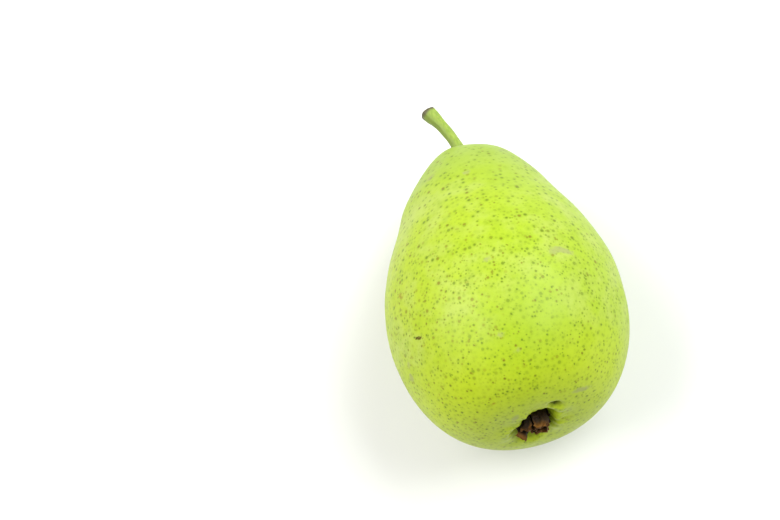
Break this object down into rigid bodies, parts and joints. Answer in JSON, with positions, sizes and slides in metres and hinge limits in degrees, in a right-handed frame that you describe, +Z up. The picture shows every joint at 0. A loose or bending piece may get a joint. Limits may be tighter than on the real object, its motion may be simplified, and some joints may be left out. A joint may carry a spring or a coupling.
{
  "type": "pear",
  "caption": "Fresh squat green-yellow pear lying on its side, with a bent woody stem, a dried calyx in its basin and a small flat to rest on.",
  "frame": {"origin": "on the table, under the middle of the whole pear's outline", "axes": "+Z up, +Y towards the stem end along the table, +X across the fruit; the calyx end faces -Y and is tipped up"},
  "size_m": [0.0738, 0.1186, 0.0737],
  "materials": {
    "skin": "green-yellow pear skin, satin and slightly waxy, dotted with small brown lenticels",
    "stalk": "green young bark turning brown and dry at the cut end",
    "calyx": "dry, brittle, dark brown withered flower parts, matte"
  },
  "bodies": {
    "root": {"fruit": "skin", "stem": "stalk", "sepal_1": "calyx", "sepal_2": "calyx", "sepal_3": "calyx", "sepal_4": "calyx", "sepal_5": "calyx", "stamen_tuft": "calyx"}
  },
  "joints": []
}
